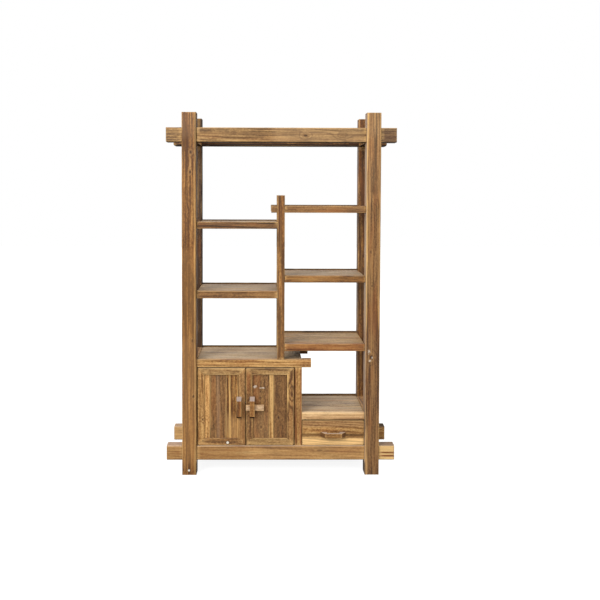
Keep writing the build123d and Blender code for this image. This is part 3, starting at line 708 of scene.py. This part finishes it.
def with_marks(tree, wood, colour, place, knot_distances):
    """Adds the knots' pale surrounds, brown rims and dark hearts, and plugs with a dark rim."""
    broken = tree.times(tree.centred(place, "broken_knot"), KNOT_BROKENNESS)
    for knot, distance in knot_distances:
        uneven = tree.plus(distance, broken)
        halo = tree.span(uneven, *KNOT_HALO, HALO_STRENGTH * knot.dark**2, 0.0)
        colour = tree.mix(halo, colour, RUBBED)
        colour = tree.mix(tree.span(uneven, *KNOT_RIM, knot.dark * RIM_STRENGTH, 0.0), colour, RIM)
        colour = tree.mix(tree.span(distance, *KNOT_HEART, knot.dark, 0.0), colour, HEART)
    along, across, _ = tree.separate(place)
    ragged = tree.centred(place, "ragged_plug")
    for plug in wood.plugs:
        distance = mark_distance(tree, along, across, plug)
        raggedness = PLUG_RAGGEDNESS * (FULL_RIM - plug.rim)
        distance = tree.plus(distance, tree.times(ragged, raggedness))
        colour = tree.mix(tree.span(distance, *PLUG_RIM, plug.rim, 0.0), colour, HEART)
        strength = PLUG_STRENGTH + PLUG_STRENGTH_RIM * plug.rim
        colour = tree.mix(tree.span(distance, *PLUG_FACE, strength, 0.0), colour, CHALK)
    return colour


CRACK_STRENGTH = 0.7
PIT_STRENGTH = 0.3
RUB_STRENGTH = 0.65
END_GRAIN_STRENGTH = 0.55
# How far a face has to turn up or to the left before it gets its painted highlight.
UPWARD = (0.3, 0.7)
LEFTWARD = (-0.7, -0.3)
# Corners that see less than this much of their surroundings, within a distance, get painted shade.
CORNER_REACH = 0.016
CORNER_SAMPLES = 4
CORNER_OPENNESS = (0.35, 0.85)
CORNER_SHADE_STRENGTH = 0.20


def with_wear(tree, wood, colour, point, wear, end, crack, pit):
    """Adds cracks, pits, grime, rubbed arrises, end grain, painted highlights and painted corner
    shade.
    """
    colour = tree.mix(tree.times(crack, CRACK_STRENGTH), colour, CRACK_AND_CORNER_SHADE)
    colour = tree.mix(tree.times(pit, PIT_STRENGTH), colour, wood.timber.dark)
    colour = tree.mix(tree.patches(point, "dirt", 0.0, wood.grime), colour, GRIME)
    # Arrises are painted paler where rubbed: wear, and also a painted highlight along the edges.
    rubbed = tree.times(tree.times(wear, tree.patches(point, "scuff")), RUB_STRENGTH)
    colour = tree.mix(rubbed, colour, RUBBED)
    colour = tree.mix(tree.times(end, END_GRAIN_STRENGTH), colour, wood.timber.dark)
    facing = tree.facing()
    # Upper faces are painted paler and greyer, a painted highlight of the light from above.
    colour = tree.mix(tree.span(facing[2], *UPWARD, 0.0, wood.bleach), colour, PAINTED_HIGHLIGHT)
    # Faces turned to the left get a painted highlight.
    colour = tree.mix(tree.span(facing[0], *LEFTWARD, wood.flank, 0.0), colour, PAINTED_HIGHLIGHT)
    # Occluded corners are darkened as painted shade.
    corner = {"Distance": CORNER_REACH}
    openness = tree.add("ShaderNodeAmbientOcclusion", corner, samples=CORNER_SAMPLES).outputs["AO"]
    return tree.mix(tree.span(openness, *CORNER_OPENNESS, CORNER_SHADE_STRENGTH, 0.0), colour, CRACK_AND_CORNER_SHADE)


# Every piece gets painted shade on its undersides.
UNDERSIDE = Shade("under", 0.9)
SHADE_FACING = (0.5, 0.8)
SHADE_END_SOFTNESS = 0.01


def with_shades(tree, wood, colour, place):
    """Adds painted shade under the piece and on the sides that its shades name, and says where it
    lies.
    """
    along = tree.separate(place)[0]
    facing = tree.facing()
    shade_share = 0.0
    for shade in (UNDERSIDE, *wood.shades):
        axis, sign = SIDES[shade.side]
        mask = tree.span(tree.times(facing[axis], sign), *SHADE_FACING, 0.0, shade.strength)
        mask = kept_to(tree, along, shade, SHADE_END_SOFTNESS, mask)
        shade_share = tree.math("MAXIMUM", shade_share, mask)
    return tree.mix(shade_share, colour, PAINTED_SHADE), shade_share


# Each piece is cut from its own part of the grains, which its seed times this spread gives.
SEED_SPREAD = (41.0, 17.0, 29.0)
# How much the broad streaks and the drift each bend the bands and stains.
BEND = 0.9
# How far each pattern stands out of the surface, as a share of the relief's height in metres.
RELIEF = {"late_wood": 0.30, "fibre": 0.5, "medium": 0.35, "crack": -1.0, "pit": -0.35}
RELIEF_STRENGTH = 0.6
RELIEF_HEIGHT = 0.0012
ROUGHNESS_RANGE = (0.46, 0.68)
CRACK_ROUGHNESS = 0.9
SHEEN = 0.28


def wood_material(name, wood):
    """Old sawn timber, laid out along each piece by the attributes that its mesh stores."""
    material = bpy.data.materials.new(name)
    tree = Tree(material)
    place = tree.attribute("place", "Vector")
    seed = tree.attribute("seed")
    wear = tree.attribute("wear")
    end = tree.attribute("end")
    across_share = tree.attribute("across")
    point = tree.shifted(place, tree.combine(*(tree.times(seed, spread) for spread in SEED_SPREAD)))

    drift = tree.centred(point, "drift")
    broad = tree.centred(point, "broad")
    medium = tree.centred(point, "medium")
    fibre = tree.centred(point, "fibre")
    late_wood, knot_distances = ring_pattern(tree, wood, place, point, seed, drift)
    crack = tree.patches(point, "crack")
    pit = tree.patches(point, "pit")

    colour = base_colour(tree, wood, point, seed, late_wood, broad, medium, fibre)
    bend = tree.plus(tree.times(broad, BEND), tree.times(drift, BEND))
    colour = with_bands(tree, wood, colour, place, across_share, bend, late_wood)
    colour = with_marks(tree, wood, colour, place, knot_distances)
    colour = with_wear(tree, wood, colour, point, wear, end, crack, pit)
    colour, shade_share = with_shades(tree, wood, colour, place)

    height = tree.plus(
        tree.times(late_wood, RELIEF["late_wood"] * wood.rings),
        tree.times(fibre, RELIEF["fibre"]),
        tree.times(medium, RELIEF["medium"]),
        tree.times(crack, RELIEF["crack"]),
        tree.times(pit, RELIEF["pit"]),
    )
    relief = {"Strength": RELIEF_STRENGTH, "Distance": RELIEF_HEIGHT, "Height": height}
    roughness = tree.patches(point, "gloss", *ROUGHNESS_RANGE)
    surface = {
        "Base Color": colour,
        "Roughness": tree.math("MAXIMUM", roughness, tree.times(crack, CRACK_ROUGHNESS)),
        # Where painted shade lies, the surface reflects nothing.
        "Specular IOR Level": tree.span(shade_share, 0.0, 1.0, SHEEN, 0.0),
        "Normal": tree.add("ShaderNodeBump", relief).outputs[0],
    }
    shader = tree.add("ShaderNodeBsdfPrincipled", surface)
    tree.add("ShaderNodeOutputMaterial", {0: shader.outputs[0]})
    return material


MATERIALS = {name: wood_material("wood_" + name, wood) for name, wood in LOOKS.items()}


# ---------------------------------------------------------------- worn pieces
# Lengths are in metres. Points closer than SAME_PLACE are one, points closer than SAME_CUT to a cut
# lie on it, and faces that meet at less than FLAT_ANGLE are one.
SAME_PLACE = 1e-6
SAME_CUT = 1e-5
FLAT_ANGLE = math.radians(1)
# Edges sharper than the first angle are rounded, and points on edges over the second one wear.
SHARP_ANGLE = math.radians(60)
WEAR_ANGLE = math.radians(20)
ARRIS_ROUNDING = 0.0007
ARRIS_STRIP = 0.005
LENGTH_STEP = 0.032
CROSS_STEP = 0.026
STEP_UNEVENNESS = 0.3
STEP_NOISE_SCALE = 31
# A piece at least this much as thick as it is wide is laid out from its front, or from its top if
# it runs from front to back. A flatter one is laid out from its broad face.
SQUARE_SECTION = 0.5
SMALLEST_HALF_WIDTH = 1e-4
# Faces whose normal runs this much along the piece are end grain.
END_GRAIN = 0.7
SEED_START = 1.7
ARRIS_SEED = 5
SEED_WAVELENGTH = 0.013
FACE_WAVELENGTH = 0.11
ARRIS_WAVELENGTH = 0.021
FACE_WOBBLE = 0.0004
POST_WOBBLE = 0.0008
FRAME_ARRIS_LOSS = 0.0008
MOVING_ARRIS_LOSS = 0.0003
FLAT_FACE_WEIGHT = 80


def add_object(name, data):
    added = bpy.data.objects.new(name, data)
    bpy.context.scene.collection.objects.link(added)
    return added


def split_islands(mesh):
    """The separate solids of a mesh, as sets of faces in any order."""
    unseen = set(mesh.faces)
    islands = []
    while unseen:
        stack = [unseen.pop()]
        island = set(stack)
        while stack:
            for edge in stack.pop().edges:
                for face in edge.link_faces:
                    if face in unseen:
                        unseen.remove(face)
                        island.add(face)
                        stack.append(face)
        islands.append(island)
    return islands


def island_box(faces):
    corners = [vertex.co for face in faces for vertex in face.verts]
    low = Vector(min(corner[axis] for corner in corners) for axis in range(3))
    high = Vector(max(corner[axis] for corner in corners) for axis in range(3))
    return low, high


def ordering(low, high):
    """Sort key of a solid, to the millimetre: front to back, then left to right, then upwards."""
    middle = (low + high) / 2
    return round(middle.y, 3), round(middle.x, 3), round(middle.z, 3)


def piece_axes(low, high):
    """Axes of a solid as (along the grain, across the face, through the thickness)."""
    size = high - low
    along = max(range(3), key=lambda axis: size[axis])
    first, second = [axis for axis in range(3) if axis != along]
    thin, wide = sorted((first, second), key=lambda axis: size[axis])
    if size[thin] >= SQUARE_SECTION * size[wide]:
        thin = 1 if along != 1 else 2
        wide = next(axis for axis in (first, second) if axis != thin)
    return along, wide, thin


def cut_places(low, high, step):
    """Places to cut a span: one near each end, and more between them at uneven steps."""
    length = high - low
    if length < 3 * ARRIS_STRIP:
        return []
    count = max(1, round(length / step))
    inner = [low + length * index / count for index in range(1, count)]
    uneven = [
        place + step * STEP_UNEVENNESS * noise.noise((place * STEP_NOISE_SCALE, 1, 0))
        for place in inner
    ]
    return [low + ARRIS_STRIP, *uneven, high - ARRIS_STRIP]


def on_axis(axis, length):
    vector = Vector((0, 0, 0))
    vector[axis] = length
    return vector


def cut_island(mesh, faces, low, high, axes):
    """Cuts a solid across all three axes, so that its faces can wear unevenly."""
    edges = {edge for face in faces for edge in face.edges}
    vertices = {vertex for face in faces for vertex in face.verts}
    geometry = [*faces, *edges, *vertices]
    for axis, step in zip(axes, (LENGTH_STEP, CROSS_STEP, CROSS_STEP)):
        for place in cut_places(low[axis], high[axis], step):
            cut = bmesh.ops.bisect_plane(
                mesh,
                geom=geometry,
                plane_co=on_axis(axis, place),
                plane_no=on_axis(axis, 1),
                dist=SAME_CUT,
            )
            geometry = [item for item in cut["geom"] if item.is_valid]
    return {item for item in geometry if isinstance(item, bmesh.types.BMFace)}


def wobble_at(position, seed, wavelength):
    """Smooth value from 0 to 1 that varies over the wavelength."""
    return 0.5 + 0.5 * noise.noise(position / wavelength + Vector((seed, 2 * seed, 3 * seed)))


def rounded_mesh(node):
    """The mesh of a CAD node without needless edges, with slightly rounded arrises."""
    mesh = bmesh.new()
    mesh.from_mesh(NODES[node].data)
    bmesh.ops.remove_doubles(mesh, verts=mesh.verts, dist=SAME_PLACE)
    bmesh.ops.dissolve_limit(mesh, angle_limit=FLAT_ANGLE, verts=mesh.verts, edges=mesh.edges)
    sharp = [
        edge
        for edge in mesh.edges
        if edge.is_manifold and edge.calc_face_angle_signed(0) > SHARP_ANGLE
    ]
    bmesh.ops.bevel(
        mesh,
        geom=sharp,
        offset=ARRIS_ROUNDING,
        offset_type="OFFSET",
        segments=2,
        profile=0.5,
        affect="EDGES",
        clamp_overlap=True,
    )
    return mesh


def lay_out_wood(mesh, layers):
    """Cuts each solid up, stores how its timber lies in it, and says how many solids there are."""
    solids = [(island, *island_box(island)) for island in split_islands(mesh)]
    solids.sort(key=lambda solid: ordering(solid[1], solid[2]))
    for index, (island, low, high) in enumerate(solids):
        axes = piece_axes(low, high)
        seed = wobble_at(low + high, SEED_START + index, SEED_WAVELENGTH)
        faces = cut_island(mesh, island, low, high, axes)
        middle = (low + high) / 2
        half_width = max((high - low)[axes[1]] / 2, SMALLEST_HALF_WIDTH)
        for vertex in {vertex for face in faces for vertex in face.verts}:
            local = Vector((vertex.co - middle)[axis] for axis in axes)
            sharpest = max((edge.calc_face_angle(0) for edge in vertex.link_edges), default=0)
            vertex[layers["place"]] = local
            vertex[layers["seed"]] = seed
            vertex[layers["across"]] = local.y / half_width
            vertex[layers["wear"]] = 1.0 if sharpest > WEAR_ANGLE else 0.0
        for face in faces:
            face.material_index = index
            face.smooth = True
            face[layers["end"]] = abs(face.normal[axes[0]]) > END_GRAIN
    return len(solids)


def wear_down(mesh, layers, wobble, arris_loss):
    """Moves every point inwards by up to the wobble, and on arrises by up to the loss more."""
    mesh.normal_update()
    moves = {}
    for vertex in mesh.verts:
        seed = vertex[layers["seed"]]
        loss = wobble * wobble_at(vertex.co, seed, FACE_WAVELENGTH)
        rubbing = wobble_at(vertex.co, ARRIS_SEED + seed, ARRIS_WAVELENGTH) ** 2
        loss += arris_loss * vertex[layers["wear"]] * rubbing
        moves[vertex] = -loss * vertex.normal
    for vertex, move in moves.items():
        vertex.co += move


def worn_piece(node, wobble, arris_loss):
    """Adds a copy of a CAD node with uneven faces and rubbed arrises, in its solids' looks."""
    mesh = rounded_mesh(node)
    layers = {
        "place": mesh.verts.layers.float_vector.new("place"),
        "seed": mesh.verts.layers.float.new("seed"),
        "wear": mesh.verts.layers.float.new("wear"),
        "across": mesh.verts.layers.float.new("across"),
        "end": mesh.faces.layers.float.new("end"),
    }
    solid_count = lay_out_wood(mesh, layers)
    wear_down(mesh, layers, wobble, arris_loss)

    data = bpy.data.meshes.new("worn_" + node)
    mesh.to_mesh(data)
    mesh.free()
    names = PIECE_LOOKS.get(node, SLOT_LOOKS[SLOT_OF[node]])
    for index in range(solid_count):
        data.materials.append(MATERIALS[names[index % len(names)]])
    piece = add_object("worn_" + node, data)
    weighted = piece.modifiers.new("flat_faces", "WEIGHTED_NORMAL")
    weighted.keep_sharp = True
    weighted.weight = FLAT_FACE_WEIGHT
    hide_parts(node)
    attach(piece, BODY_OF[node])


for node_name in sorted(NODES):
    is_corner_post = node_name.endswith("_post") and "middle" not in node_name
    worn_piece(
        node_name,
        wobble=POST_WOBBLE if is_corner_post else FACE_WOBBLE,
        arris_loss=FRAME_ARRIS_LOSS if BODY_OF[node_name] == "frame" else MOVING_ARRIS_LOSS,
    )


# ---------------------------------------------------------------- camera
PHOTO_WIDTH = 600
SENSOR_WIDTH = 36
CAMERA_PLACE = Vector((-0.0855, -3.6572, 1.5535))
CAMERA_YAW = math.radians(0.49)
CAMERA_PITCH = math.radians(1.81)
CAMERA_ROLL = math.radians(0.144)
FOCAL_PIXELS = 637.15
PRINCIPAL_X = 271.17
PRINCIPAL_Y = 214.41


def make_camera():
    """A nearly level camera, turned slightly right and down, with its frame shifted."""
    ahead = Vector((math.sin(CAMERA_YAW), math.cos(CAMERA_YAW), 0))
    rightward = Vector((math.cos(CAMERA_YAW), -math.sin(CAMERA_YAW), 0))
    upward = Vector((0, 0, 1))
    forward = ahead * math.cos(CAMERA_PITCH) - upward * math.sin(CAMERA_PITCH)
    head = upward * math.cos(CAMERA_PITCH) + ahead * math.sin(CAMERA_PITCH)
    side = rightward * math.cos(CAMERA_ROLL) + head * math.sin(CAMERA_ROLL)
    top = head * math.cos(CAMERA_ROLL) - rightward * math.sin(CAMERA_ROLL)
    data = bpy.data.cameras.new("camera")
    data.sensor_width = SENSOR_WIDTH
    data.lens = FOCAL_PIXELS / PHOTO_WIDTH * SENSOR_WIDTH
    data.shift_x = CENTRED - PRINCIPAL_X / PHOTO_WIDTH
    data.shift_y = PRINCIPAL_Y / PHOTO_WIDTH - CENTRED
    camera = add_object("camera", data)
    turn = Matrix((side, top, -forward)).transposed()
    camera.matrix_world = Matrix.Translation(CAMERA_PLACE) @ turn.to_4x4()
    bpy.context.scene.camera = camera


make_camera()


# ---------------------------------------------------------------- floor, world and lamps
WHITE = (1, 1, 1, 1)
FLOOR_SIZE = 30.0
# The floor as it lights the bookcase, and as the camera sees it.
FLOOR_LIT = (0.16, 0.155, 0.15, 1)
FLOOR_SEEN = (0.86, 0.86, 0.86, 1)
FLOOR_GLOW = 1.3
FLOOR_GLOW_SHARE = 0.68
# The sky goes from its low to its high strength between these heights of a direction.
SKY_RISE = (-0.3, 0.9)
SKY_LOW = 0.10
SKY_HIGH = 1.15
SKY_COLOUR = (0.98, 0.99, 1, 1)
# Each lamp has a name, a place, the length of its sides in metres, and its power in watts.
LAMPS = (
    ("key_lamp", (-2.6, -3.4, 3.0), 2.2, 170),
    ("fill_lamp", (2.8, -3.6, 2.6), 3.0, 58),
)
LAMP_AIM = (0, 0, 0.9)


def make_floor():
    """A white floor that keeps a soft shadow and meets the white background."""
    material = bpy.data.materials.new("floor_paper")
    tree = Tree(material)
    ray = tree.add("ShaderNodeLightPath").outputs
    seen = tree.math("MAXIMUM", ray["Is Camera Ray"], ray["Is Glossy Ray"])
    matte = tree.add("ShaderNodeBsdfDiffuse", {"Color": tree.mix(seen, FLOOR_LIT, FLOOR_SEEN)})
    glow = tree.add("ShaderNodeEmission", {"Color": WHITE, "Strength": FLOOR_GLOW})
    share = tree.times(seen, FLOOR_GLOW_SHARE)
    mixed = tree.add("ShaderNodeMixShader", {0: share, 1: matte.outputs[0], 2: glow.outputs[0]})
    tree.add("ShaderNodeOutputMaterial", {0: mixed.outputs[0]})
    half = FLOOR_SIZE / 2
    data = bpy.data.meshes.new("floor")
    corners = [(-half, -half, 0), (half, -half, 0), (half, half, 0), (-half, half, 0)]
    data.from_pydata(corners, [], [(0, 1, 2, 3)])
    data.materials.append(material)
    add_object("floor", data)


def make_world():
    """Soft light, stronger from above, seen as plain white by the camera and in reflections."""
    world = bpy.data.worlds.new("studio")
    tree = Tree(world)
    ray = tree.add("ShaderNodeLightPath").outputs
    seen = tree.math("MAXIMUM", ray["Is Camera Ray"], ray["Is Transmission Ray"])
    seen = tree.math("MAXIMUM", seen, ray["Is Glossy Ray"])
    upward = tree.separate(tree.add("ShaderNodeTexCoord").outputs["Generated"])[2]
    strength = tree.span(upward, *SKY_RISE, SKY_LOW, SKY_HIGH)
    light = tree.add("ShaderNodeBackground", {"Color": SKY_COLOUR, "Strength": strength})
    paper = tree.add("ShaderNodeBackground", {"Color": WHITE, "Strength": 1.0})
    mixed = tree.add("ShaderNodeMixShader", {0: seen, 1: light.outputs[0], 2: paper.outputs[0]})
    tree.add("ShaderNodeOutputWorld", {0: mixed.outputs[0]})
    bpy.context.scene.world = world


def make_lamp(name, place, size, power):
    """A square soft box that faces the bookcase."""
    data = bpy.data.lights.new(name, "AREA")
    data.size = size
    data.energy = power
    lamp = add_object(name, data)
    lamp.location = place
    lamp.rotation_euler = (Vector(LAMP_AIM) - Vector(place)).to_track_quat("-Z", "Y").to_euler()


make_floor()
make_world()
for lamp_values in LAMPS:
    make_lamp(*lamp_values)

scene = bpy.context.scene
scene.view_settings.view_transform = "Standard"
